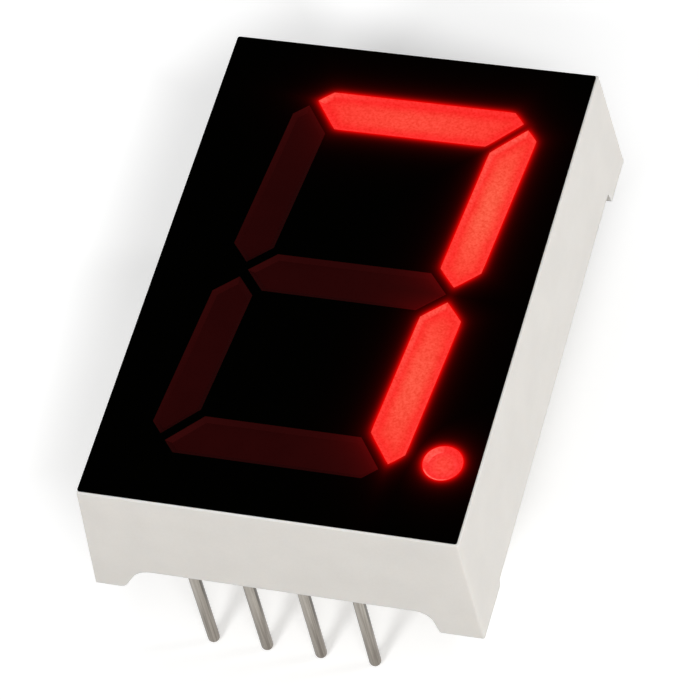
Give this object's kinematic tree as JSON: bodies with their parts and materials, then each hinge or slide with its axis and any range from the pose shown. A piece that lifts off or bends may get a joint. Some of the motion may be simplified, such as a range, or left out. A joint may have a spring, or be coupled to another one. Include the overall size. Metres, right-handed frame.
{
  "type": "seven segment display",
  "caption": "Seven segment display with a decimal point: a black face with red windows, an off-white body on corner feet, and rows of round pins for through-hole mounting.",
  "frame": {"origin": "under the middle of the body, on the plane of the pin tips", "axes": "+Z out of the face, +Y towards the top of the digit, +X to the reader's right"},
  "size_m": [0.0178, 0.0264, 0.0131],
  "materials": {
    "shell": "satin",
    "mask": "matte",
    "window_lit": "satin",
    "window_dark": "satin",
    "board": "satin",
    "chip": "satin",
    "gold": "polished",
    "tin": "satin",
    "solder": "satin",
    "potting": "gloss"
  },
  "bodies": {
    "root": {"reflector_housing": "shell", "face_mask": "mask", "segment_a": "window_lit", "segment_b": "window_lit", "segment_c": "window_lit", "segment_d": "window_dark", "segment_e": "window_dark", "segment_f": "window_dark", "segment_g": "window_dark", "decimal_point": "window_lit", "circuit_board": "board", "chip_a1": "chip", "chip_a2": "chip", "chip_b1": "chip", "chip_b2": "chip", "chip_c1": "chip", "chip_c2": "chip", "chip_d1": "chip", "chip_d2": "chip", "chip_e1": "chip", "chip_e2": "chip", "chip_f1": "chip", "chip_f2": "chip", "chip_g1": "chip", "chip_g2": "chip", "chip_dp": "chip", "wire_a1": "gold", "wire_a2": "gold", "wire_b1": "gold", "wire_b2": "gold", "wire_c1": "gold", "wire_c2": "gold", "wire_d1": "gold", "wire_d2": "gold", "wire_e1": "gold", "wire_e2": "gold", "wire_f1": "gold", "wire_f2": "gold", "wire_g1": "gold", "wire_g2": "gold", "wire_dp": "gold", "pin_1": "tin", "pin_2": "tin", "pin_3": "tin", "pin_4": "tin", "pin_6": "tin", "pin_7": "tin", "pin_8": "tin", "pin_9": "tin", "pin_10": "tin", "solder_1": "solder", "solder_2": "solder", "solder_3": "solder", "solder_4": "solder", "solder_6": "solder", "solder_7": "solder", "solder_8": "solder", "solder_9": "solder", "solder_10": "solder", "rear_potting": "potting"}
  },
  "joints": []
}
